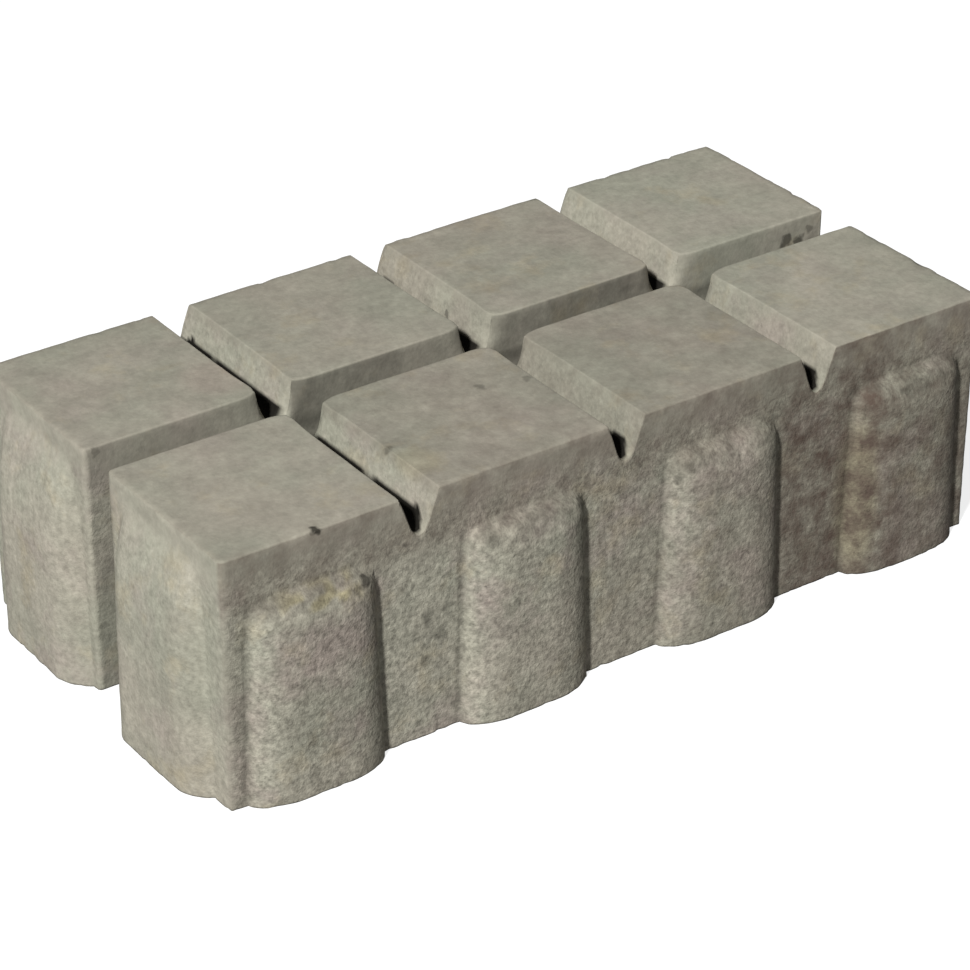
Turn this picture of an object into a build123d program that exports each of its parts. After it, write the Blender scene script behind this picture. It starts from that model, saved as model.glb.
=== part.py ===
from build123d import *
import os

os.makedirs("parts", exist_ok=True)

# Concrete paving stone, one casting, lying on its base.
# +X runs along the four heads of a row, +Y across the two rows, +Z up, base at Z = 0.

# Whole stone
stone_height = 114.0
head_pitch = 100.0
heads_per_row = 4
end_setback = 10.0
head_width = 85.5
outer_corner_round = 3.0
rim_round = 2.0

# Channel between the two rows, which turns into a notch of full height at each end
channel_width = 18.0
channel_depth = 28.0
channel_floor_round = 6.0
notch_reach = 22.0
notch_mouth_round = 2.5
notch_back_round = 7.0

# Grooves between the heads of a row: wide mouth, steep throat, narrow floor
groove_mouth = 17.5
groove_throat = 11.0
groove_floor = 5.0
mouth_depth = 8.0
groove_depth = 18.5
head_corner_round = 4.5

# Spacer lugs, one on every outer face of a head, whose tops run out into the face
lug_foot_width = 64.0
lug_crest_width = 42.0
lug_depth = 9.5
lug_foot_top = 91.0
lug_crest_top = 79.0
lug_foot_corner = 17.0
lug_crest_corner = 9.0
lug_shoulder_round = 8.0
lug_root = 2.0
end_lug_offset = 48.0

# Sizes that follow from the ones above
body_length = heads_per_row * head_pitch - 2 * end_setback
body_width = 2 * head_width + channel_width
row_offset = (channel_width + head_width) / 2
overrun = 20.0
throat_level = stone_height - mouth_depth
groove_level = stone_height - groove_depth
head_centres = [(i - (heads_per_row - 1) / 2) * head_pitch for i in range(heads_per_row)]
face_x = body_length / 2
face_y = body_width / 2

# Plan of the block without its lugs: a rectangle with a notch in the middle of each end.
with BuildSketch() as plan:
    Rectangle(body_length, body_width)
    fillet(plan.vertices(), outer_corner_round)
    with Locations((-face_x, 0), (face_x, 0)):
        Rectangle(2 * notch_reach, channel_width, mode=Mode.SUBTRACT)
    inner_corners = plan.vertices().filter_by(lambda v: abs(v.Y) < channel_width)
    fillet(inner_corners.filter_by(lambda v: abs(v.X) < face_x - 1), notch_back_round)
    mouth_corners = plan.vertices().filter_by(lambda v: abs(v.Y) < channel_width)
    fillet(mouth_corners.filter_by(lambda v: abs(v.X) > face_x - 1), notch_mouth_round)

# One spacer lug standing on the plane Y = 0 and pointing to -Y. Its outline on the face is
# an arch, its crest is a smaller arch, and straight slopes join the two.
with BuildPart() as lug:
    with BuildSketch(Plane.XZ) as foot_outline:
        with Locations((0, (lug_foot_top - overrun) / 2)):
            Rectangle(lug_foot_width, lug_foot_top + overrun)
        fillet(foot_outline.vertices().group_by(Axis.Y)[-1], lug_foot_corner)
    with BuildSketch(Plane.XZ.offset(lug_depth)) as crest_outline:
        with Locations((0, (lug_crest_top - overrun) / 2)):
            Rectangle(lug_crest_width, lug_crest_top + overrun)
        fillet(crest_outline.vertices().group_by(Axis.Y)[-1], lug_crest_corner)
    loft(ruled=True)
    fillet(lug.faces().sort_by(Axis.Y)[0].edges(), lug_shoulder_round)
    extrude(lug.faces().sort_by(Axis.Y)[-1], amount=lug_root)
    split(bisect_by=Plane.XY, keep=Keep.TOP)

# The layer above the groove floors: heads whose sides lean back from the grooves in two
# steps, throat and mouth. They overrun the block's outside and are trimmed to its plan.
with BuildPart() as heads:
    steps = (
        ((groove_level, groove_floor), (throat_level, groove_throat)),
        ((throat_level, groove_throat), (stone_height, groove_mouth)),
    )
    for index, centre in enumerate(head_centres):
        for step in steps:
            for level, gap in step:
                west = centre - (head_pitch - gap) / 2 - (overrun if index == 0 else 0)
                east = centre + (head_pitch - gap) / 2 + (overrun if index == heads_per_row - 1 else 0)
                with BuildSketch(Plane.XY.offset(level)):
                    with Locations(((west + east) / 2, row_offset + overrun / 2)):
                        RectangleRounded(east - west, head_width + overrun, head_corner_round)
            loft(ruled=True)
    mirror(about=Plane.XZ)
    add(plan.sketch)
    extrude(amount=stone_height, mode=Mode.INTERSECT)

# The block: the lower slab with the channel cut into it, the heads on top, their rims
# rounded, and the lugs on all four sides.
with BuildPart() as paving_stone:
    add(plan.sketch)
    extrude(amount=groove_level)
    with BuildSketch(Plane.YZ.offset(-face_x)) as channel_section:
        with Locations((0, stone_height - channel_depth / 2)):
            Rectangle(channel_width, channel_depth)
        fillet(channel_section.vertices().group_by(Axis.Y)[0], channel_floor_round)
    extrude(amount=body_length, mode=Mode.SUBTRACT)
    add(heads.part)
    fillet(paving_stone.faces().group_by(Axis.Z)[-1].edges(), rim_round)
    with Locations([Location((x, -face_y, 0)) for x in head_centres]):
        add(lug.part)
    with Locations([Location((x, face_y, 0), (0, 0, 180)) for x in head_centres]):
        add(lug.part)
    with Locations([Location((-face_x, y, 0), (0, 0, -90)) for y in (-end_lug_offset, end_lug_offset)]):
        add(lug.part)
    with Locations([Location((face_x, y, 0), (0, 0, 90)) for y in (-end_lug_offset, end_lug_offset)]):
        add(lug.part)

paving_stone.part.label = "paving_stone"
export_step(paving_stone.part, "parts/paving_stone.step")
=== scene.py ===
# %% [markdown]
# # Concrete paving stone with eight cobble heads
# The object is one block of dry-pressed concrete, 399 x 208 x 114 mm. Its top is divided by
# grooves and a channel into eight heads that look like laid cobbles, and twelve spacer lugs
# on its sides keep a joint open to the next stone.
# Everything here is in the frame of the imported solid: metres, +X along the rows of heads,
# +Y across them, +Z up, with the base on z = 0.

# %% Load the fixed frame and note its box
import bpy
import numpy as np
from mathutils import Matrix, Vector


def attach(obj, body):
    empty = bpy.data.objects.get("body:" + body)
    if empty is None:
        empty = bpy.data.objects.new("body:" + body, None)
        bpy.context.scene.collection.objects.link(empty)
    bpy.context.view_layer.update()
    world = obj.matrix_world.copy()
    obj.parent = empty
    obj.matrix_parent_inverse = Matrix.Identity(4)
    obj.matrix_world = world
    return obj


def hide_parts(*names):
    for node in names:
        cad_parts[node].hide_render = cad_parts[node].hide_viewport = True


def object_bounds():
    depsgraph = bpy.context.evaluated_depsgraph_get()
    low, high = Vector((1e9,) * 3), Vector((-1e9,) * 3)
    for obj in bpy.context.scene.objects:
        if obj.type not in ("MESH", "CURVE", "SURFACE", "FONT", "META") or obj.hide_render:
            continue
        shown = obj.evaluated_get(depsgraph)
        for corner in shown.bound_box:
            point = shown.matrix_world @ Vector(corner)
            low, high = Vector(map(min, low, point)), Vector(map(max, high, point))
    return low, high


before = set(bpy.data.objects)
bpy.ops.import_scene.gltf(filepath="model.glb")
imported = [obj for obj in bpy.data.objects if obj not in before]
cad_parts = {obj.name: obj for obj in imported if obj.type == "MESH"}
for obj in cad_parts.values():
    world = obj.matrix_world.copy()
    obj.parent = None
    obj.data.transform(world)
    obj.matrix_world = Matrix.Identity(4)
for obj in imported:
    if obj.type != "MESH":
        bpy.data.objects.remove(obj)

cad_box = [list(map(float, corner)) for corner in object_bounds()]
print("box of the solid", cad_box)

# %% [markdown]
# ## The sizes of the stone
# Sizes are written in millimetres, as a mould maker would give them, and turned into metres
# once, when the mesh is made. The outer sizes come from the solid's box: the lugs stand out
# of the block by their depth, so the block is that much smaller on each side.

# %% Sizes of the block and its lugs
METRE = 0.001
LUG_DEPTH, LUG_TAPER = 9.5, 0.035
half_length_with_lug, half_width_with_lug, HEIGHT = np.round(np.array(cad_box[1]) / METRE, 1).tolist()
HALF_LENGTH = half_length_with_lug - LUG_DEPTH
HALF_WIDTH = half_width_with_lug - LUG_DEPTH
HEAD_PITCH = 100.0
OUTER_ROUND, HEAD_ROUND, RIM_ROUND = 3.0, 8.5, 1.2
SIDE_LUG_MIDDLE, END_LUG_MIDDLE = 50.0, 48.0
SIDE_LUG = {"half": 32.0, "run": 22.0, "top": 90.5, "top_run": 14.0, "fullness": 0.6}
END_LUG = {"half": 34.5, "run": 16.0, "top": 104.0, "top_run": 48.0, "fullness": 0.9}
print("block", 2 * HALF_LENGTH, "x", 2 * HALF_WIDTH, "x", HEIGHT, "mm")

# %% [markdown]
# A section is drawn as a short list of (distance from the middle, depth) pairs. The groove
# is a plain V with a tight root; the channel between the two rows has upright walls and a
# rounded floor. Both begin with three points for the rounded rim. At each end the channel
# becomes a notch that is open down to the ground.

# %% The two sections and the notch
GROOVE_DEPTH, CHANNEL_DEPTH, CHANNEL_HALF = 18.5, 28.0, 9.0
GROOVE_SECTION = np.array([
    (9.8, 0.0), (9.25, 0.04), (8.95, 0.25), (8.65, 0.85), (7.35, 4.2), (6.35, 6.9),
    (5.4, 9.6), (4.6, 12.2), (3.6, 14.7), (2.4, 16.8), (1.1, 18.1), (0.0, GROOVE_DEPTH),
])
CHANNEL_SECTION = np.array([
    (10.4, 0.0), (9.7, 0.1), (9.3, 0.4), (9.05, 1.2), (CHANNEL_HALF, 3.6), (8.8, 22.0),
    (8.4, 24.3), (7.0, 26.4), (4.9, 27.6), (2.8, CHANNEL_DEPTH), (0.0, CHANNEL_DEPTH),
])
WALL_TOP, WALL_FOOT = CHANNEL_SECTION[4], CHANNEL_SECTION[5]
NOTCH_REACH, NOTCH_MOUTH_ROUND, NOTCH_BACK_ROUND = 22.0, 2.5, 7.0
print("depth of groove and channel", GROOVE_SECTION[:, 1].max(), CHANNEL_SECTION[:, 1].max(), "mm")

# %% [markdown]
# ## One skin, wrapped like paper round a parcel
# The stone is one casting, so it is one closed skin. It could be cut out of a block with
# booleans, but then the relief of the concrete would have no even net of points to act on.
# Instead a net is laid over the top, another is carried round the sides, and both share
# the points of the rim. The lines of the net are close together where a wall falls into a
# groove and where a lug starts, and even elsewhere. First come the places of the lines.

# %% Helpers for the net's lines
def along(section, step):
    """Points on a drawn line: its running length is added up point by point. The three
    points of the rounded rim are kept, the rest is divided into equal steps, and both
    coordinates are read off at each step."""
    run = np.concatenate([[0.0], np.cumsum(np.hypot(*np.diff(section, axis=0).T))])
    even = np.linspace(run[3], run[-1], int(round((run[-1] - run[3]) / step)) + 1)
    at = np.concatenate([run[:3], even])
    return np.stack([np.interp(at, run, section[:, 0]), np.interp(at, run, section[:, 1])], 1)


def filled(groups, step):
    """Groups of fixed lines in order, with the stretches between them filled evenly."""
    lines = [groups[0]]
    for group in groups[1:]:
        start, stop = lines[-1][-1], group[0]
        count = max(int(round((stop - start) / step)), 1)
        lines += [np.linspace(start, stop, count + 1)[1:-1], np.asarray(group)]
    return np.concatenate(lines)


print("0, 6 and 7 filled in steps of 2:", filled([[0.0], [6.0, 7.0]], 2.0).tolist())

# %% [markdown]
# Along the stone, each head has two groups of lines, one at each foot of its lug, and the
# grooves have theirs. Half of the net is written down and mirrored. The places beside a
# foot lie closest on the foot itself, because the lug rises steeply there.

# %% Places of the net's lines
NET_STEP, WALL_STEP = 1.95, 1.7
BESIDE_FOOT = np.array([-0.9, 0.0, 0.45, 1.1, 2.1, 3.6])
groove_half = along(GROOVE_SECTION, WALL_STEP)[::-1]
channel_half = along(CHANNEL_SECTION, WALL_STEP)[::-1]


def both_feet(middle, half):
    """The two groups of lines at the feet of a lug, one the mirror image of the other."""
    return [middle - half + BESIDE_FOOT, middle + half - BESIDE_FOOT[::-1]]


u_half = filled([
    groove_half[:, 0],
    *both_feet(SIDE_LUG_MIDDLE, SIDE_LUG["half"]),
    HEAD_PITCH - groove_half[::-1, 0],
    HEAD_PITCH + groove_half[1:, 0],
    *both_feet(HEAD_PITCH + SIDE_LUG_MIDDLE, SIDE_LUG["half"]),
    [HALF_LENGTH - RIM_ROUND, HALF_LENGTH],
], NET_STEP)
v_half = filled([
    channel_half[:, 0],
    *both_feet(END_LUG_MIDDLE, END_LUG["half"]),
    [HALF_WIDTH - RIM_ROUND, HALF_WIDTH],
], NET_STEP)

u_lines = np.concatenate([-u_half[:0:-1], u_half])
v_lines = np.concatenate([-v_half[:0:-1], v_half])
groove_middle = HEAD_PITCH * np.clip(np.round(u_lines / HEAD_PITCH), -1, 1)
groove_depth = np.interp(np.abs(u_lines - groove_middle), groove_half[:, 0], groove_half[:, 1])
channel_depth = np.interp(np.abs(v_lines), channel_half[:, 0], channel_half[:, 1])
depth = np.maximum(groove_depth[:, None], channel_depth[None, :])
print("net lines along and across", len(u_lines), len(v_lines))

# %% [markdown]
# ## The plan: where each point of the net lies, seen from above
# Three bends turn the straight net into the real plan. The ends are drawn in where the
# channel becomes a notch. The four outer corners are rounded. The corners of the heads,
# where groove and channel cross, are rounded too. That rounding is worked out depth by
# depth and shrinks to nothing at the root of the groove, where the two heads meet. Close to
# a crossing the sides of the groove also stand a little steeper than along the rest of it.

# %% Helpers for the plan
def rise(value, low, high):
    """0 below low, 1 above high, and a smooth rise between them."""
    t = np.clip((value - low) / (high - low), 0.0, 1.0)
    return t * t * (3.0 - 2.0 * t)


def round_off(across, along_it):
    """Square corner to round corner: both coordinates are measured from the centre of the
    rounding, and each point keeps the larger of the two as its distance from it."""
    larger = np.maximum(across, along_it)
    length = np.maximum(np.hypot(across, along_it), 1e-9)
    scale = np.where((across > 0) & (along_it > 0), larger / length, 1.0)
    return across * scale, along_it * scale


def half_width_at(section, depth):
    """Half width of a section at a depth: the drawing is read the other way round."""
    return np.interp(depth, section[:, 1], section[:, 0])


def end_reach(v, depth):
    """How far the net reaches along X at each line across: full length beside the notch,
    its rounded mouth, a walk down the notch's wall in step with the channel's wall, and
    the notch's rounded back."""
    a = np.abs(v)
    mouth = np.clip(a - CHANNEL_HALF, 0.0, NOTCH_MOUTH_ROUND)
    reach = HALF_LENGTH - NOTCH_MOUTH_ROUND + np.sqrt(
        np.maximum(NOTCH_MOUTH_ROUND**2 - (NOTCH_MOUTH_ROUND - mouth) ** 2, 0.0))
    from_back = np.clip(a - (CHANNEL_HALF - NOTCH_BACK_ROUND), 0.0, NOTCH_BACK_ROUND)
    back = HALF_LENGTH - NOTCH_REACH + NOTCH_BACK_ROUND - np.sqrt(
        np.maximum(NOTCH_BACK_ROUND**2 - from_back**2, 0.0))
    foot_back = np.interp(WALL_FOOT[0], a[len(a) // 2:], back[len(a) // 2:])
    way = np.clip((depth - WALL_TOP[1]) / (WALL_FOOT[1] - WALL_TOP[1]), 0.0, 1.0)
    wall = (HALF_LENGTH - NOTCH_MOUTH_ROUND) * (1 - way) + foot_back * way
    return np.where(a >= CHANNEL_HALF, reach, np.where(a >= WALL_FOOT[0], wall, back))


print("a smooth rise in quarters", np.round(rise(np.linspace(0.0, 1.0, 5), 0.0, 1.0), 2).tolist())

# %% [markdown]
# The bends are applied to the whole net at once. Each point keeps its place in the net, so
# the top stays one piece of cloth, only pulled into shape; trimming a flat net to the plan
# would leave slivers along every edge. The first bend draws the ends in at the notches.

# %% Draw the ends in at the notches
u, v = np.meshgrid(u_lines, v_lines, indexing="ij")
last_edge = HEAD_PITCH + groove_half[-1, 0]
reach = end_reach(v_lines, channel_depth)[None, :]
beyond = np.clip((np.abs(u) - last_edge) / (HALF_LENGTH - last_edge), 0.0, 1.0)
x = np.where(np.abs(u) > last_edge, np.sign(u) * (last_edge + beyond * (reach - last_edge)), u)
y = v.copy()
print("ends reach from", round(float(reach.min()), 1), "in the notch to", round(float(reach.max()), 1))

# %% [markdown]
# The second bend rounds the corners of the heads. With it, the upper part of a groove's
# sides is drawn together close to a crossing, by 2.9 mm at most, so they stand steeper
# there. The third bend rounds the four outer corners of the stone.

# %% Round the corners of the heads and of the stone
STEEPER_BY, STEEPER_REACH = 2.9, 7.0
middle = groove_middle[:, None]
off_groove = np.abs(x - middle)
share_of_depth = depth / GROOVE_DEPTH
near_crossing = np.exp(-np.maximum(np.abs(y) - CHANNEL_HALF, 0.0) / STEEPER_REACH)
steeper = STEEPER_BY * near_crossing * np.maximum(1.0 - share_of_depth, 0.0) ** 1.5
steeper = steeper * rise(off_groove, 2.0, 8.0) * rise(20.0 - off_groove, 0.0, 12.0)
corner_round = HEAD_ROUND * np.sqrt(np.maximum(1.0 - share_of_depth**2, 0.0))
across = half_width_at(GROOVE_SECTION, depth) + corner_round - off_groove
along_it = half_width_at(CHANNEL_SECTION, depth) + corner_round - np.abs(y)
across_new, along_new = round_off(across, along_it)
x = x + np.sign(x - middle) * (across - across_new - steeper)
y = y + np.sign(y) * (along_it - along_new)

centre_x, centre_y = HALF_LENGTH - OUTER_ROUND, HALF_WIDTH - OUTER_ROUND
corner_x, corner_y = round_off(np.abs(x) - centre_x, np.abs(y) - centre_y)
x = np.sign(x) * (centre_x + corner_x)
y = np.sign(y) * (centre_y + corner_y)
z = HEIGHT - depth
print("plan reaches", x.max(), y.max(), "lowest point of the top net", z.min())

# %% [markdown]
# ## The sides: the rim's line carried down to the ground
# The side is a profile carried along a path. The path is the rim of the top net, followed
# once round the stone, in and out of both notches. The profile is the height, from the
# ground to the rim. What makes it a paving stone is the third part: a lug's bulge is added
# outwards wherever the path passes a head.
# The lug is drawn with a formula, because its shape is one steady swelling: it rises steeply from a sharp
# foot and flattens into a full, gently rounded front, rounder than a straight slope. A straight slope was
# tried first and looked machined; the real one is rounder. The lugs of the ends are wider and less full,
# so they start softly and hardly show a foot.

# %% The form of a lug
def off_head_middle(place):
    """How far a place along the stone lies from the middle of its own head."""
    furthest = 2 * HEAD_PITCH - 1.0
    return place - HEAD_PITCH * (np.floor(np.clip(place, -furthest, furthest) / HEAD_PITCH) + 0.5)


def lug_bulge(off_middle, height, half, run, top, top_run, fullness):
    """How far a lug stands out of the face: depth x (1 - s^2)^fullness. The measure s is 1
    on the lug's foot and 0 on its full front, and the run is the way between the two.
    Sideways and upwards parts are joined with the power 4, which is nearly square:
    s = (side^4 + up^4)^(1/4). The half width shrinks a little with the height, by the taper
    that frees it from the mould."""
    side = np.maximum(np.abs(off_middle) - (half - run) + LUG_TAPER * height, 0.0) / run
    up = np.maximum(height - (top - top_run), 0.0) / top_run
    s = np.clip((side**4 + up**4) ** 0.25, 0.0, 1.0)
    return LUG_DEPTH * (1.0 - s**2) ** fullness


foot_to_middle = np.linspace(SIDE_LUG["half"], 0.0, 5)
side_bulge = lug_bulge(foot_to_middle, 0.0, **SIDE_LUG)
print("a side lug's bulge, foot to middle", np.round(side_bulge, 1).tolist())

# %% [markdown]
# The rim's points are listed once round the stone: along the front, the right end, the back
# and the left end.

# %% The way round the rim
nu, nv = len(u_lines), len(v_lines)
ring_i = np.concatenate([
    np.arange(nu), np.full(nv - 1, nu - 1), np.arange(nu - 2, -1, -1), np.zeros(nv - 2, int)])
ring_j = np.concatenate([
    np.zeros(nu, int), np.arange(1, nv), np.full(nu - 1, nv - 1), np.arange(nv - 2, 0, -1)])
rim_x, rim_y, rim_z = x[ring_i, ring_j], y[ring_i, ring_j], z[ring_i, ring_j]
in_notch = (np.abs(v_lines[ring_j]) < CHANNEL_HALF) & ((ring_i == 0) | (ring_i == nu - 1))
on_long_side = (ring_j == 0) | (ring_j == nv - 1)
print("points round the rim", len(ring_i))

# %% [markdown]
# Every row of the side repeats the rim's list at its own height. The rows are closer
# together where the lugs run out below the rim. Last, the rim itself is drawn in and down a
# little: the pressed edge of the top is not sharp.

# %% Side net
ROW_STEP, LOWEST_ROWS = 2.4, [0.0, 0.9]
CLOSE_FROM, CLOSE_TO = 76.0, 92.0
RIM_TURN = 0.36
rows = filled([LOWEST_ROWS, [CLOSE_FROM], [CLOSE_TO], [HEIGHT - RIM_ROUND]], ROW_STEP)
between_rows = 0.5 * (rows[1:] + rows[:-1])
rows = np.sort(np.concatenate([rows, between_rows[(between_rows > CLOSE_FROM) & (between_rows < CLOSE_TO)]]))
side_z = rows[:, None] / HEIGHT * rim_z[None, :]
bulge_long = lug_bulge(off_head_middle(rim_x), side_z, **SIDE_LUG) * on_long_side
bulge_end = lug_bulge(np.abs(rim_y) - END_LUG_MIDDLE, side_z, **END_LUG) * (~on_long_side & ~in_notch)
side_x = rim_x + np.sign(rim_x) * bulge_end
side_y = rim_y + np.sign(rim_y) * bulge_long

turn = np.where(in_notch, 0.0, RIM_TURN)
x[ring_i, ring_j] -= np.where(on_long_side, 0.0, np.sign(rim_x)) * turn
y[ring_i, ring_j] -= np.where(on_long_side, np.sign(rim_y), 0.0) * turn
z[ring_i, ring_j] -= turn
print("side net", side_x.shape, "lug reach", side_x.max(), side_y.max())

# %% [markdown]
# ## Sewing the nets together
# Each square of a net is written as four point numbers, for the whole net at once. The
# side's last row is sewn to the rim of the top, and the underside, which is plain and
# flat, is one face inside the side's first row. All faces are numbered so that they look
# outwards.

# %% Points and faces of the skin
def net_faces(numbers, closed):
    """Squares of a net of point numbers: each takes a point, its neighbour along, the one
    across from it and its neighbour up. A closed net also joins its last column to its
    first."""
    ahead = np.roll(numbers, -1, axis=1) if closed else numbers[:, 1:]
    here = numbers if closed else numbers[:, :-1]
    return np.stack([here[:-1], ahead[:-1], ahead[1:], here[1:]], -1).reshape(-1, 4)


top_points = np.stack([x, y, z], -1).reshape(-1, 3)
top_numbers = np.arange(nu * nv).reshape(nu, nv)
side_points = np.stack([side_x, side_y, side_z], -1).reshape(-1, 3)
side_numbers = nu * nv + np.arange(side_x.size).reshape(side_x.shape)
points = np.concatenate([top_points, side_points])
rim_numbers = top_numbers[ring_i, ring_j]
squares = np.concatenate([
    net_faces(top_numbers.T, closed=False),
    net_faces(np.vstack([side_numbers, rim_numbers]), closed=True),
])
underside = side_numbers[0, ::-1]
print("points", len(points), "triangles", 2 * len(squares) + len(underside) - 2)

# %% [markdown]
# ## Relief of the pressed concrete
# Dry concrete is rammed into a mould, so the top, which the stamp pressed, is closed and
# fairly smooth, while the sides are drawn open and sandy, and every edge has lost grains.
# The relief is smooth random noise: random numbers on a lattice, read off between the
# lattice points. It only takes material away, so the stone never grows past its size.

# %% Random relief
def lattice_noise(places, size, seed):
    """Smooth noise from 0 to 1. Space is divided into cubes of the given size, each
    corner gets a fixed random number, and a point mixes the eight corners round it, with
    weights that leave each corner gently."""
    table = np.random.default_rng(seed).random(8192)
    cell = np.floor(places / size).astype(np.int64)
    part = places / size - cell
    part = part * part * (3.0 - 2.0 * part)
    value = np.zeros(len(places))
    for corner in range(8):
        pick = np.array([(corner >> axis) & 1 for axis in range(3)])
        key = ((cell + pick) * np.array([73856093, 19349663, 83492791])).sum(1) % 8191
        value += table[key] * np.prod(np.where(pick, part, 1.0 - part), axis=1)
    return value


def point_normals(points, squares):
    """Outward direction at each point: the cross product of each square's diagonals,
    added up over the squares that meet there and brought to length one."""
    first, second, third, fourth = (points[squares[:, corner]] for corner in range(4))
    normal = np.cross(third - first, fourth - second)
    total = np.stack([
        np.bincount(squares.ravel(), np.repeat(normal[:, axis], 4), len(points)) for axis in range(3)], 1)
    return total / np.maximum(np.linalg.norm(total, axis=1, keepdims=True), 1e-12)


sample = lattice_noise(points, 31.0, 1)
print("noise from and to", round(float(sample.min()), 2), round(float(sample.max()), 2))

# %% [markdown]
# Each point is told where it is: on the top or a side, how near a rim or the ground, how
# deep in a groove or the channel. The sandiness follows from that: the skin is closed near
# the stamped top and open lower down, and the walls of the notches are smoother.

# %% Where each point lies
WEAR_REACH = 1.6
px, py, height_of = points.T
is_side = np.arange(len(points)) >= nu * nv
from_face, from_end = HALF_WIDTH - np.abs(py), HALF_LENGTH - np.abs(px)
to_rim = np.where(is_side, HEIGHT - height_of, np.minimum(from_end, from_face))
rim_wear = np.exp(-np.clip(to_rim, 0, 20) / WEAR_REACH)
foot_wear = np.exp(-height_of / WEAR_REACH) * is_side


def for_all(of_top, of_side):
    """One value for each point: a net of values for the top, followed by one for the side."""
    return np.concatenate([
        np.broadcast_to(of_top, depth.shape).ravel(), np.broadcast_to(of_side, side_x.shape).ravel()])


groove_of = for_all(groove_depth[:, None], 0.0)
channel_of = for_all(channel_depth[None, :], 0.0)
notch_wall = for_all(0.0, in_notch * 1.0)
on_end = is_side * rise(-from_end, -4.0, -0.5)
sandy_side = rise(HEIGHT - height_of, 1.0, 22.0) * (1.0 - 0.5 * on_end - 0.4 * notch_wall)
sandy = np.where(is_side, sandy_side, 0.45 * rise(groove_of, 0.3, 4.0))
on_front = is_side * rise(-py, 90.0, 93.0) * (np.abs(px) < HALF_LENGTH)
from_lug = off_head_middle(px)
over_lug = rise(34.0 - np.abs(from_lug), 0.0, 5.0)
lug_edge = on_front * over_lug * rise(height_of, 79.0, 84.0) * rise(95.0 - height_of, 0.0, 7.0)
print("points on the sides", int(is_side.sum()), "mean sandiness", round(float(sandy[is_side].mean()), 2))

# %% [markdown]
# Four sizes of noise make the relief, from waves of 31 mm left by the filling of the mould
# down to grains of 3 mm; the fine ones are stronger where the skin is sandy. Pits are put
# on the ledges of the front lugs, where sand fell out, and chips along the rims and the
# foot. The rims are also worn in uneven stretches of about 8 mm. The skin moves inwards
# along its own direction.

# %% Relief on the skin
# Size of the noise, its seed, its depth everywhere, and how much deeper on sand.
WAVES = ((31.0, 1, 0.26, 0.0), (11.0, 2, 0.16, 0.0), (5.2, 3, 0.12, 0.14), (3.0, 4, 0.05, 0.16))
# Size of the noise, its seed, and the level above which it counts.
PITS, CHIPS, DENTS = (4.4, 6, 0.68), (3.4, 5, 0.55), (8.0, 7, 0.45)


def peaks(size, seed, above):
    """Only the highest parts of a noise: how far it rises above a level."""
    return np.maximum(lattice_noise(points, size, seed) - above, 0.0)


relief = sum((even + more * sandy) * lattice_noise(points, size, seed) for size, seed, even, more in WAVES)
relief += (3.0 * lug_edge + 0.6 * sandy) * peaks(*PITS)
relief += (3.2 * rim_wear + 1.6 * foot_wear) * peaks(*CHIPS)
relief += 0.7 * rim_wear * peaks(*DENTS)
normals = point_normals(points, squares)
normals[side_numbers[0], 2] = 0.0
points = points - normals * relief[:, None]
points[side_numbers[0], 2] = 0.0
points[:, 2] = np.clip(points[:, 2], 0.0, HEIGHT)
print("relief in mm, mean and most", round(float(relief.mean()), 2), round(float(relief.max()), 2))

# %% [markdown]
# ## Where soil has settled, where shade is painted, and where the stone has dulled
# The first layer darkens towards black. It is painted shade at the root of the grooves, on the lower part of
# the channel, on the walls of the notches and on the lug's far slope; along the lug's foot on the lit side
# and in the front corner it is soil and painted shade together; on the channel's walls it darkens stretches,
# and on the ledge over each lug it is soil. A second, thinner layer is a brown-grey film that dulls the
# front, more so to the right; on the rims it is painted shade that takes away their highlight, and where it
# is thinner on the lit slopes of the first three lugs, that is painted light. The third is a slight tint,
# yellowish or pinkish, in a few places seen in the photograph. All three are worked out for each point from
# its place and kept with the mesh. They could be painted as pictures instead, but numbers on the points need
# no unfolding of the skin.
# In the grooves the black is painted shade, and it starts 13 mm down, a little higher near the two faces. It
# ends on a slanting edge just inside each face, where the distance from the face and the depth add up to 20
# mm, so the mouth of a groove shows a black drop of painted shade. In two places the photograph shows the
# dark line interrupted, and it is left out there.

# %% Painted shade in the grooves
def spot(x, y, z, wide, high, amount):
    """A soft oval spot: full in its middle, nothing beyond its half width along the level
    directions and its half height along Z."""
    away = np.sqrt(((px - x) / wide) ** 2 + ((py - y) / wide) ** 2 + ((height_of - z) / high) ** 2)
    return amount * rise(1.0 - away, 0.0, 0.55)


FIRST_SHADE_FROM, OTHER_SHADE_FROM, HIGHER_AT_FACE = 12.9, 13.6, 1.6
SLANT_SUM = 20.0
shade_from = np.where(px < -HEAD_PITCH / 2, FIRST_SHADE_FROM, OTHER_SHADE_FROM)
shade_from = shade_from - HIGHER_AT_FACE * rise(18.0 - from_face, 0.0, 10.0)
# Painted shade: black at the root of each groove and in a drop at its mouth.
groove_painted_shade = rise(groove_of - shade_from, 0.0, 0.5) * rise(from_face + groove_of - SLANT_SUM, -0.6, 0.6)
groove_painted_shade = groove_painted_shade * rise(np.abs(py) - CHANNEL_HALF, 2.0, 7.0)
gaps_in_shade = spot(-100.0, 66.0, 101.0, 5.0, 6.0, 1.0) + spot(-97.0, -52.0, 101.0, 5.0, 6.0, 0.7)
groove_painted_shade = groove_painted_shade * (1.0 - np.clip(gaps_in_shade, 0.0, 1.0))
print("share of points in soiled grooves", round(float((groove_painted_shade > 0.5).mean()), 3))
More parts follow.
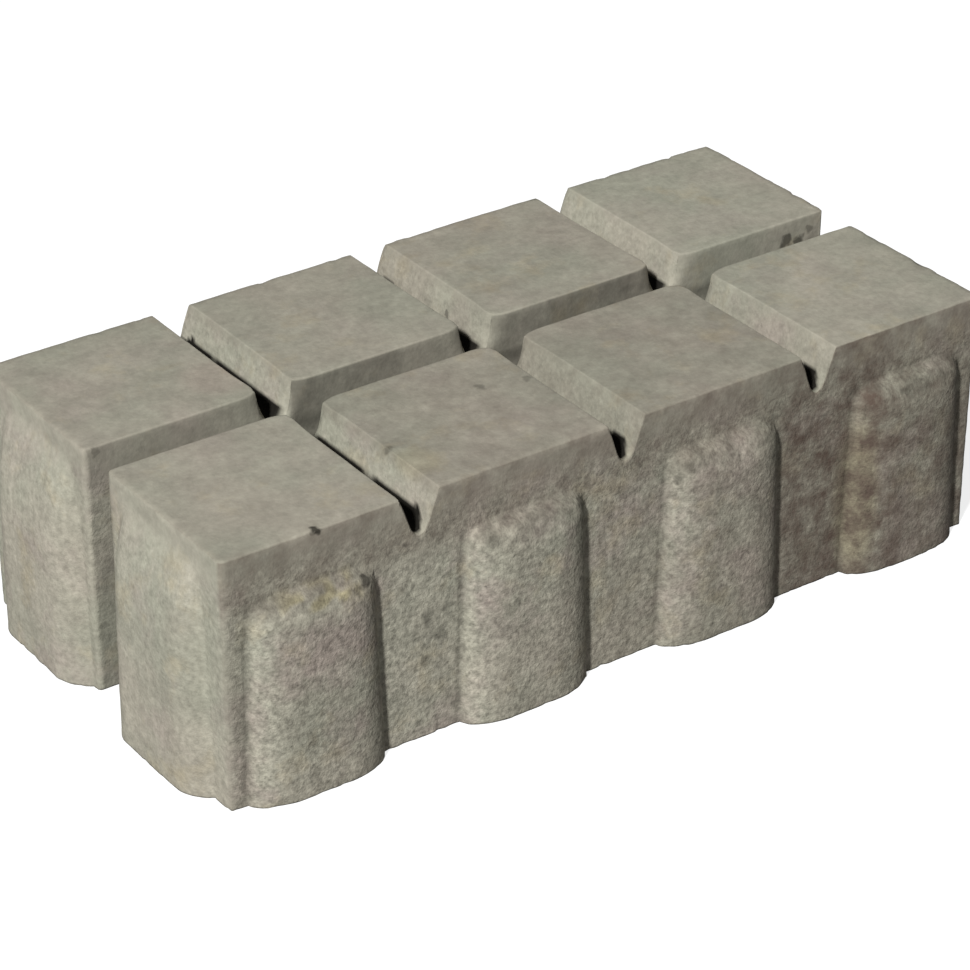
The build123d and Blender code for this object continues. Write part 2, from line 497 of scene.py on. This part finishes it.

# %% [markdown]
# The channel's walls are darkened by stretches, listed as (place along X, amount), and the lower part of the
# channel is painted shade throughout. The other places follow from the forms: painted shade on the walls of
# the notches and on the lug's far slope, soil on the ledge over a lug, and soil with painted shade along the
# lug's foot on the lit side and in the front corner. Where two of them meet, the darker one counts.

# %% Painted shade, soil and darkening in the channel and on the sides
CHANNEL_DARKENING = np.array([
    (-190.0, 0.18), (-96.0, 0.18), (-92.0, 0.46), (-84.0, 0.44), (-78.0, 0.36), (-41.0, 0.36), (-38.0, 0.22),
    (0.0, 0.22), (8.0, 0.31), (36.0, 0.31), (38.0, 0.42), (94.0, 0.42), (104.0, 0.13), (190.0, 0.13),
])
channel_darkening = np.interp(px, *CHANNEL_DARKENING.T) * rise(channel_of, 0.2, 1.4)
# Painted shade: the lower part of the channel is dark throughout.
channel_darkening = np.maximum(channel_darkening, 0.6 * rise(channel_of, 14.0, 20.0))
ledge_soil = lug_edge * rise(lattice_noise(points, 5.0, 21), 0.35, 0.75)
past_foot = from_lug + SIDE_LUG["half"] - LUG_TAPER * height_of
# Soil and painted shade: a dark line in the crease at the lug's foot on the lit side.
lit_foot_soil_and_shade = on_front * rise(past_foot, -3.4, -1.6) * rise(-past_foot, -1.0, 0.2)
lit_foot_soil_and_shade = lit_foot_soil_and_shade * rise(90.0 - height_of, 0.0, 6.0)
# Painted shade: the lug's far slope, which faces away from the lamp, is darkened.
far_slope_painted_shade = on_front * rise(from_lug, 19.0, 24.0) * rise(30.0 - from_lug, 0.0, 4.0)
far_slope_painted_shade = far_slope_painted_shade * rise(88.0 - height_of, 0.0, 6.0)
# Soil and painted shade in the strip between the front-left corner and the first lug.
front_corner = is_side * rise(-py, 90.0, 94.0) * rise(-px, 181.0, 184.0) * rise(108.0 - height_of, 0.0, 20.0)
soil_and_painted_shade = np.clip(np.maximum.reduce([
    groove_painted_shade,
    channel_darkening,
    # Painted shade on the walls of the notches.
    0.27 * notch_wall,
    0.30 * ledge_soil,
    (0.20 + 0.10 * (px < -HEAD_PITCH / 2)) * lit_foot_soil_and_shade,
    0.20 * far_slope_painted_shade,
    0.07 * front_corner,
]), 0.0, 1.0)
print("share of points with soil", round(float((soil_and_painted_shade > 0.05).mean()), 3))

# %% [markdown]
# The film on the sides is a sum of plain steps, each written as an amount and the part of the stone that it
# covers: first how dull the front is from left to right, then a darker band under the rim. Below that band
# it is lighter under the first two grooves, and on the lit slopes of the first three lugs, where the thinner
# film is painted light. Two more steps dull parts of the left end. Each step was set by comparing the
# brightness of a patch of the stone with the photograph.

# %% Film and painted light on the sides
def within(value, low, high, soft):
    """1 well between low and high, 0 outside them, with a smooth step at each."""
    return rise(value, low, low + soft) * rise(-value, -high, -high + soft)


right_part = rise(px, 72.0, 92.0)
from_middle = rise(px, -45.0, 0.0)
band = rise(height_of, 84.0, 92.0)
below_band = rise(86.0 - height_of, 0.0, 6.0)
front_steps = (
    (0.16, 1.0),
    (0.14, from_middle),
    (0.43, right_part),
    (-0.18, rise(px, 130.0, 150.0)),
    (0.26, band),
    (-0.10, band * from_middle),
    (-0.24, band * right_part),
    (-0.10, below_band * within(px, -121.0, -79.0, 7.0)),
    (-0.05, below_band * within(px, -21.0, 21.0, 7.0)),
    # Painted light: less film on the lit slopes of the first three lugs makes them lighter.
    (-0.12, below_band * rise(-from_lug, 16.0, 26.0) * over_lug * (px < 70.0)),
)
left_end = rise(-px, 186.0, 189.0)
end_steps = (
    (0.10, left_end * below_band * (1.0 - on_front) * rise(-py, 60.0, 68.0) * rise(py, -83.0, -78.0)),
    (0.09, left_end * rise(py, 6.0, 9.0) * rise(30.0 - py, 0.0, 14.0)),
)
side_film_and_painted_light = on_front * np.maximum(sum(amount * part for amount, part in front_steps), 0.0)
side_film_and_painted_light = side_film_and_painted_light + sum(amount * part for amount, part in end_steps)
print("film on the sides, most", round(float(side_film_and_painted_light[is_side].max()), 2))

# %% [markdown]
# The top is dulled a little everywhere, more on the two middle heads of the front row and less on the right
# heads. The sides of the first groove are nearly clean, and the front part of the last groove is dulled on
# its right side. The outer rims, on the top and on the sides, and the rims of the grooves get some more
# film; it is painted shade that takes away the highlight of their rounding.

# %% Film and painted shade on the top
right_heads = rise(px, 95.0, 105.0)
middle_front = rise(-py, 5.0, 9.0) * rise(px, -105.0, -95.0) * rise(100.0 - px, 0.0, 8.0)
groove_rim_painted_shade = (groove_of > 0.04) * rise(3.5 - groove_of, 0.0, 2.5)
top_film_and_painted_shade = sum(amount * part for amount, part in (
    (0.14, 1.0),
    (0.05, groove_rim_painted_shade),
    (0.12, middle_front),
    (-0.09, right_heads),
    (-0.05, right_heads * rise(py, 5.0, 9.0)),
))
top_film_and_painted_shade = top_film_and_painted_shade * (1.0 - 0.8 * rise(groove_of, 2.5, 6.0) * (px < -HEAD_PITCH / 2))
top_film_and_painted_shade += 0.07 * rise(groove_of, 1.0, 4.0) * (px > HEAD_PITCH) * (py < 0.0)
# Painted shade: more film on the rims takes away the highlight of their rounding.
film_and_painted_light = np.where(is_side, side_film_and_painted_light, top_film_and_painted_shade) + 0.18 * rim_wear * (~is_side | (height_of > 50.0))
print("film from and to", round(float(film_and_painted_light.min()), 2), round(float(film_and_painted_light.max()), 2))

# %% [markdown]
# The tint is above zero where the stone is yellowish and below zero where it is pinkish.
# The ledge over the first front lug shows ochre grains, so its tint is broken up with noise.

# %% Tint
tint = spot(122.0, -98.0, 38.0, 13.0, 52.0, 0.65) + spot(-87.0, -73.0, 114.0, 14.0, 8.0, 0.35)
first_ledge = lug_edge * rise(px, -172.0, -160.0) * rise(-128.0 - px, 0.0, 8.0)
tint += 0.9 * first_ledge * rise(lattice_noise(points, 4.5, 22), 0.45, 0.65)
tint -= spot(-115.0, 31.0, 114.0, 20.0, 8.0, 0.4)
print("tint from and to", round(float(tint.min()), 2), round(float(tint.max()), 2))

# %% [markdown]
# ## Making the mesh
# The arrays become one mesh object. Soil with painted shade, film with painted shade and light, tint and
# sandiness go with it as named values, one for each point. A closed skin has every edge in exactly two
# faces, and that is counted here.

# %% Make the mesh
def make_piece(name, points, squares, extra_face, values):
    """A mesh object from arrays: points in millimetres, squares, one large closing face,
    and named values that the material reads point by point."""
    mesh = bpy.data.meshes.new(name)
    mesh.from_pydata((points * METRE).tolist(), [], squares.tolist() + [extra_face.tolist()])
    mesh.polygons.foreach_set("use_smooth", np.ones(len(mesh.polygons), bool))
    for label, numbers in values.items():
        layer = mesh.attributes.new(label, "FLOAT", "POINT")
        layer.data.foreach_set("value", np.asarray(numbers, np.float32))
    mesh.update()
    piece = bpy.data.objects.new(name, mesh)
    bpy.context.scene.collection.objects.link(piece)
    return piece


layers = {"soil_and_painted_shade": soil_and_painted_shade, "sandy": sandy, "film_and_painted_light": film_and_painted_light, "tint": tint}
stone = make_piece("paving_stone_skin", points, squares, underside, layers)
stone.data.polygons[-1].use_smooth = False
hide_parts("paving_stone")
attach(stone, "root")

edge_of_corner = np.zeros(len(stone.data.loops), int)
stone.data.loops.foreach_get("edge_index", edge_of_corner)
print("each edge lies in two faces:", bool((np.bincount(edge_of_corner) == 2).all()))

# %% [markdown]
# ## The concrete's colour and grain
# Weathered grey concrete is never one grey. Cement skin gives a cool green-grey, iron in
# the sand gives warm and yellowish clouds, and bare sand grains give light and dark specks.
# All of it is noise on the object's own coordinates, so it stays with the stone from every
# side. A painted picture could hold more, but it would need the skin to be unfolded.
# First come short helpers, each of which adds one kind of shader node and links it.

# %% Helpers for materials
def add_node(tree, kind, **settings):
    """A shader node with its settings and input values given by name."""
    node = tree.nodes.new(kind)
    for key, value in settings.items():
        if key in node.inputs:
            node.inputs[key].default_value = value
        else:
            setattr(node, key, value)
    return node


def noise_node(tree, where, size_mm, detail, rough, seed):
    """Noise whose blotches are about the given size; seed shifts it to another part."""
    shift = add_node(tree, "ShaderNodeVectorMath", operation="ADD")
    shift.inputs[1].default_value = (seed * 0.37, seed * 0.71, seed * 0.13)
    tree.links.new(where, shift.inputs[0])
    node = add_node(tree, "ShaderNodeTexNoise", Scale=1000.0 / size_mm, Detail=detail, Roughness=rough)
    tree.links.new(shift.outputs[0], node.inputs["Vector"])
    return node.outputs["Fac"]


def ramp(tree, value, low, high, out_low=0.0, out_high=1.0):
    """Stretches a value from low..high to out_low..out_high and clips it there."""
    node = add_node(tree, "ShaderNodeMapRange", clamp=True)
    for key, number in zip(("From Min", "From Max", "To Min", "To Max"), (low, high, out_low, out_high)):
        node.inputs[key].default_value = number
    tree.links.new(value, node.inputs["Value"])
    return node.outputs["Result"]


def stretched_noise(tree, where, noise, stretch):
    """Noise given as (size in mm, detail, roughness, seed), stretched by the numbers of a
    ramp: (low, high), and what these two become if that isn't 0 and 1."""
    return ramp(tree, noise_node(tree, where, *noise), *stretch)


def maths(tree, operation, first, second):
    """One sum or product of two values, each a socket or a plain number."""
    node = add_node(tree, "ShaderNodeMath", operation=operation)
    for socket, value in zip(node.inputs, (first, second)):
        if isinstance(value, bpy.types.NodeSocket):
            tree.links.new(value, socket)
        else:
            socket.default_value = value
    return node.outputs[0]


def blend(tree, amount, first, second, mode="MIX"):
    """Mixes two colours, each a socket or a plain colour, by an amount."""
    node = add_node(tree, "ShaderNodeMix", data_type="RGBA", blend_type=mode)
    for socket, value in ((node.inputs[0], amount), (node.inputs[6], first), (node.inputs[7], second)):
        if isinstance(value, bpy.types.NodeSocket):
            tree.links.new(value, socket)
        else:
            socket.default_value = value if isinstance(value, float) else (*value, 1.0)
    return node.outputs[2]


# %% [markdown]
# The colours are written as they look on the screen, from 0 to 255, and turned into the
# amount of light that they stand for.

# %% The colours of the stone
def srgb(red, green, blue):
    """Screen colour to light: c / 12.92 for the darkest, ((c + 0.055) / 1.055)^2.4 for the
    rest, with c from 0 to 1."""
    c = np.array([red, green, blue]) / 255.0
    return tuple(np.where(c <= 0.04045, c / 12.92, ((c + 0.055) / 1.055) ** 2.4).tolist())


CEMENT_GREY, LIGHT_GREY = srgb(151, 150, 135), srgb(158, 153, 139)
WARM_SAND, OCHRE_SAND = srgb(153, 141, 133), srgb(160, 151, 128)
YELLOW_TINT, PINK_TINT = srgb(158, 150, 116), srgb(160, 143, 133)
FILM_AND_SHADE_BROWN, SOIL_AND_SHADE_BLACK = srgb(88, 76, 67), srgb(24, 22, 17)
print("cement grey as light", np.round(CEMENT_GREY, 3).tolist())

# %% [markdown]
# The colour is built like the stone itself: a base of cement grey and clouds of other
# sands over it. Each cloud is a noise stretched so that it covers only part of the stone.
# The tint kept with the points adds the few places with a colour of their own.

# %% Base and clouds
concrete = bpy.data.materials.new("weathered_concrete")
concrete.use_nodes = True
tree = concrete.node_tree
surface = tree.nodes["Principled BSDF"]
surface.inputs["Roughness"].default_value = 0.92
surface.inputs["Specular IOR Level"].default_value = 0.2
where = add_node(tree, "ShaderNodeTexCoord").outputs["Object"]
shaded_and_soiled, sand, tinted, film_and_painted_light_fac = (
    add_node(tree, "ShaderNodeAttribute", attribute_name=label).outputs["Fac"]
    for label in ("soil_and_painted_shade", "sandy", "tint", "film_and_painted_light"))

base = stretched_noise(tree, where, (60.0, 3.0, 0.55, 1.0), (0.38, 0.62))
colour = blend(tree, base, CEMENT_GREY, LIGHT_GREY)
warm = stretched_noise(tree, where, (34.0, 4.0, 0.6, 3.0), (0.50, 0.70, 0.0, 0.75))
warm = maths(tree, "MULTIPLY", warm, ramp(tree, sand, 0.0, 1.0, 0.35, 1.0))
colour = blend(tree, warm, colour, WARM_SAND)
ochre = stretched_noise(tree, where, (24.0, 4.0, 0.6, 2.0), (0.56, 0.74, 0.0, 0.7))
colour = blend(tree, ochre, colour, OCHRE_SAND)
colour = blend(tree, ramp(tree, tinted, 0.0, 1.0, 0.0, 0.8), colour, YELLOW_TINT)
colour = blend(tree, ramp(tree, tinted, -1.0, 0.0, 0.8, 0.0), colour, PINK_TINT)
cloud = stretched_noise(tree, where, (15.0, 4.0, 0.6, 7.0), (0.3, 0.7, 0.90, 1.10))
colour = blend(tree, 1.0, colour, cloud, "MULTIPLY")
print("base and clouds", len(tree.nodes), "nodes so far")

# %% [markdown]
# Grain comes next: light and dark grains of sand, strong where the skin is sandy and faint on the stamped
# top, and small open holes, which are darker. The soil and painted shade kept with the points are broken up
# with noise, because soil clings in patches.

# %% Grain, holes, soil and painted shade
speck = stretched_noise(tree, where, (2.8, 2.0, 0.7, 4.0), (0.30, 0.70, 0.66, 1.34))
speck_soft = stretched_noise(tree, where, (3.4, 2.0, 0.65, 5.0), (0.3, 0.7, 0.90, 1.10))
colour = blend(tree, 1.0, colour, blend(tree, sand, speck_soft, speck), "MULTIPLY")
hole = stretched_noise(tree, where, (3.2, 3.0, 0.6, 8.0), (0.60, 0.72, 0.0, 0.34))
hole = maths(tree, "MULTIPLY", hole, ramp(tree, sand, 0.2, 1.0, 0.0, 1.0))
patchy = stretched_noise(tree, where, (9.0, 4.0, 0.65, 9.0), (0.32, 0.68, 0.55, 1.45))
shade_and_soil_amount = maths(tree, "MULTIPLY", shaded_and_soiled, blend(tree, shaded_and_soiled, patchy, (1.0, 1.0, 1.0)))
dark = maths(tree, "MAXIMUM", shade_and_soil_amount, hole)
print("grain, holes and soil", len(tree.nodes), "nodes so far")

# %% [markdown]
# A few single marks can be picked out in the photograph: a chip in the front edge, dark
# crumbs on the ledges of the lugs, stains at the end of the channel. Each is given by its
# place in millimetres, its radius and its strength. The places are pushed about by noise
# of 0 to 6 mm along each direction before the distance is taken, so that none of the marks
# is a clean disc, and each place is moved by half of that to stay where it was read.

# %% Single marks
MARKS = (
    ((-175.0, -102.0, 93.0), 3.6, 0.95), ((-129.0, -98.0, 86.0), 3.4, 0.75),
    ((-147.0, -94.5, 113.5), 3.2, 0.85), ((-150.0, -102.5, 90.0), 3.0, 0.5),
    ((-91.0, -58.0, 114.0), 3.4, 0.45), ((-32.0, -38.0, 114.0), 3.2, 0.35),
    ((-12.0, -43.0, 114.0), 3.0, 0.35), ((-25.0, -97.0, 86.0), 3.6, 0.6),
    ((-199.0, -82.0, 88.0), 2.8, 0.5), ((-199.0, -89.0, 88.0), 2.6, 0.5),
    ((-199.0, -85.0, 77.0), 2.8, 0.5), ((-184.5, 9.0, 30.0), 3.4, 0.5),
    ((-184.0, 9.0, 111.0), 2.8, 0.4), ((-164.0, 9.0, 106.0), 2.8, 0.22),
    ((24.0, -99.0, 81.0), 3.4, 0.5), ((144.0, -100.0, 84.0), 3.6, 0.45),
    ((-96.0, -94.5, 57.0), 4.0, 0.42), ((-91.0, -94.5, 46.0), 4.2, 0.40),
    ((-87.0, -94.5, 58.0), 3.6, 0.38), ((-98.0, -94.5, 36.0), 3.8, 0.34),
    ((-89.0, -94.5, 32.0), 3.6, 0.22), ((-104.0, -94.5, 50.0), 3.4, 0.2),
    ((168.0, 9.0, 104.0), 4.2, 0.7), ((175.0, 9.0, 102.0), 4.2, 0.75),
    ((181.0, 9.0, 106.0), 3.4, 0.5), ((4.6, 40.0, 102.5), 2.4, 0.5), ((5.0, 55.0, 103.0), 2.6, 0.3),
)
FRAY = 0.006
frayed = add_node(tree, "ShaderNodeTexNoise", Scale=250.0, Detail=2.0)
tree.links.new(where, frayed.inputs["Vector"])
pushed = add_node(tree, "ShaderNodeVectorMath", operation="MULTIPLY_ADD")
pushed.inputs[1].default_value = (FRAY, FRAY, FRAY)
tree.links.new(frayed.outputs["Color"], pushed.inputs[0])
tree.links.new(where, pushed.inputs[2])
for place, radius, amount in MARKS:
    away = add_node(tree, "ShaderNodeVectorMath", operation="DISTANCE")
    away.inputs[1].default_value = tuple(k * METRE + FRAY / 2 for k in place)
    tree.links.new(pushed.outputs[0], away.inputs[0])
    mark = ramp(tree, away.outputs["Value"], radius * 0.5 * METRE, radius * METRE, amount, 0.0)
    dark = maths(tree, "MAXIMUM", dark, mark)
print("marks", len(MARKS))

# %% [markdown]
# The film, with its painted shade and painted light, dulls everything below it, and the soil and painted
# shade lie over the film. A fine bump stands for the grains that are too small for the net of points; it is
# weaker on the stamped top.

# %% Film, soil, painted shade and bump
film_patchy = stretched_noise(tree, where, (11.0, 4.0, 0.65, 12.0), (0.32, 0.68, 0.55, 1.45))
colour = blend(tree, maths(tree, "MULTIPLY", film_and_painted_light_fac, film_patchy), colour, FILM_AND_SHADE_BROWN)
colour = blend(tree, dark, colour, SOIL_AND_SHADE_BLACK)
tree.links.new(colour, surface.inputs["Base Color"])

bump = add_node(tree, "ShaderNodeBump", Distance=0.0006)
tree.links.new(ramp(tree, sand, 0.0, 1.0, 0.25, 0.8), bump.inputs["Strength"])
tree.links.new(noise_node(tree, where, 1.7, 2.0, 0.6, 6.0), bump.inputs["Height"])
tree.links.new(bump.outputs["Normal"], surface.inputs["Normal"])
stone.data.materials.append(concrete)
print("material nodes", len(tree.nodes))

# %% [markdown]
# ## Floor, light and camera
# The stone lies on a plain pale floor. One round lamp stands high on the left and somewhat
# in front, so the front gets less light than the top and the left end, and each lug's far
# slope is in shade. The world gives a weak even fill and shows as white behind the stone.
# Lighting by the fill alone would be simpler, but it would lose the dark far slopes that
# give the lugs away.

# %% Helper for what only the camera sees
def link_by_viewer(tree, for_light, for_camera, output_kind):
    """Ends a material or world: the camera sees one shader, all other rays another."""
    choose = add_node(tree, "ShaderNodeMixShader")
    seen = add_node(tree, "ShaderNodeLightPath").outputs["Is Camera Ray"]
    for socket, source in zip(choose.inputs, (seen, for_light.outputs[0], for_camera.outputs[0])):
        tree.links.new(source, socket)
    tree.links.new(choose.outputs[0], add_node(tree, output_kind).inputs["Surface"])


def grey(amount):
    """A neutral colour of the given lightness."""
    return (amount, amount, amount, 1.0)


# %% [markdown]
# The floor reflects moderately, so that it doesn't light the lower edges of the stone. To
# the camera it also glows, which makes it nearly white and still leaves the shadow on it.

# %% Floor
FLOOR_HALF = 6.0
floor_mesh = bpy.data.meshes.new("floor")
corners = [
    (-FLOOR_HALF, -FLOOR_HALF, 0.0), (FLOOR_HALF, -FLOOR_HALF, 0.0),
    (FLOOR_HALF, FLOOR_HALF, 0.0), (-FLOOR_HALF, FLOOR_HALF, 0.0),
]
floor_mesh.from_pydata(corners, [], [(0, 1, 2, 3)])
floor = bpy.data.objects.new("floor", floor_mesh)
bpy.context.scene.collection.objects.link(floor)
floor_look = bpy.data.materials.new("pale_floor")
floor_look.use_nodes = True
tree = floor_look.node_tree
tree.nodes.clear()
plain = add_node(tree, "ShaderNodeBsdfDiffuse", Color=grey(0.25))
pale = add_node(tree, "ShaderNodeBsdfDiffuse", Color=grey(0.30))
glow = add_node(tree, "ShaderNodeEmission", Color=grey(1.0), Strength=0.80)
pale_and_glow = add_node(tree, "ShaderNodeAddShader")
tree.links.new(pale.outputs[0], pale_and_glow.inputs[0])
tree.links.new(glow.outputs[0], pale_and_glow.inputs[1])
link_by_viewer(tree, plain, pale_and_glow, "ShaderNodeOutputMaterial")
floor_mesh.materials.append(floor_look)
print("floor", 2 * FLOOR_HALF, "m wide")

# %% [markdown]
# The world is one even fill. The camera sees it as white.

# %% World
world = bpy.data.worlds.new("studio")
bpy.context.scene.world = world
world.use_nodes = True
tree = world.node_tree
tree.nodes.clear()
fill = add_node(tree, "ShaderNodeBackground", Color=grey(1.0), Strength=0.16)
white = add_node(tree, "ShaderNodeBackground", Color=grey(1.0), Strength=1.0)
link_by_viewer(tree, fill, white, "ShaderNodeOutputWorld")
print("world nodes", len(tree.nodes))

# %% [markdown]
# The lamp's direction was worked out from the brightness of the end, the top and the front
# of the stone in the photograph. It is large enough to soften the edges of the shadows.
# Lamp and camera are placed by the same rule: they look back along a direction.

# %% Lamp
LAMP_DISTANCE, LAMP_WIDTH, LAMP_WATTS = 5.0, 0.45, 340.0
towards_lamp = np.array([-0.62, -0.44, 0.64])
towards_lamp /= np.linalg.norm(towards_lamp)


def right_and_up(back):
    """The level direction square to `back`, and the one square to both."""
    right = np.cross([0.0, 0.0, 1.0], back)
    right /= np.linalg.norm(right)
    return right, np.cross(back, right)


def facing(back, place):
    """A placement that looks along minus `back` from a place and stands upright."""
    placement = np.eye(4)
    placement[:3] = np.stack([*right_and_up(back), back, place], axis=1)
    return Matrix(placement.tolist())


lamp_data = bpy.data.lights.new("key_lamp", "AREA")
lamp_data.shape = "DISK"
lamp_data.size = LAMP_WIDTH
lamp_data.energy = LAMP_WATTS
lamp = bpy.data.objects.new("key_lamp", lamp_data)
lamp.matrix_world = facing(towards_lamp, towards_lamp * LAMP_DISTANCE)
bpy.context.scene.collection.objects.link(lamp)
print("lamp at", np.round(towards_lamp * LAMP_DISTANCE, 2).tolist())

# %% [markdown]
# ## The camera
# Its place was found by fitting the stone's straight edges to the photograph: it looks
# from the front left, 30 degrees down, through a long lens. No lens shift is needed.

# %% Camera
AZIMUTH, ELEVATION = np.radians(-35.097), np.radians(30.346)
DISTANCE, AIM_RIGHT, AIM_UP = 1.46484, -0.00239, 0.03335
PICTURE_PIXELS, FOCAL_PIXELS, SENSOR_MM = 970.0, 3358.07, 36.0
back = np.array([
    np.sin(AZIMUTH) * np.cos(ELEVATION),
    -np.cos(AZIMUTH) * np.cos(ELEVATION),
    np.sin(ELEVATION),
])
right, up = right_and_up(back)
target = right * AIM_RIGHT + up * AIM_UP
camera_data = bpy.data.cameras.new("camera")
camera_data.sensor_width = SENSOR_MM
camera_data.lens = SENSOR_MM * FOCAL_PIXELS / PICTURE_PIXELS
camera = bpy.data.objects.new("camera", camera_data)
camera.matrix_world = facing(back, target + back * DISTANCE)
bpy.context.scene.collection.objects.link(camera)
bpy.context.scene.camera = camera
bpy.context.scene.view_settings.view_transform = "Standard"
print("lens", round(camera_data.lens, 1), "mm")
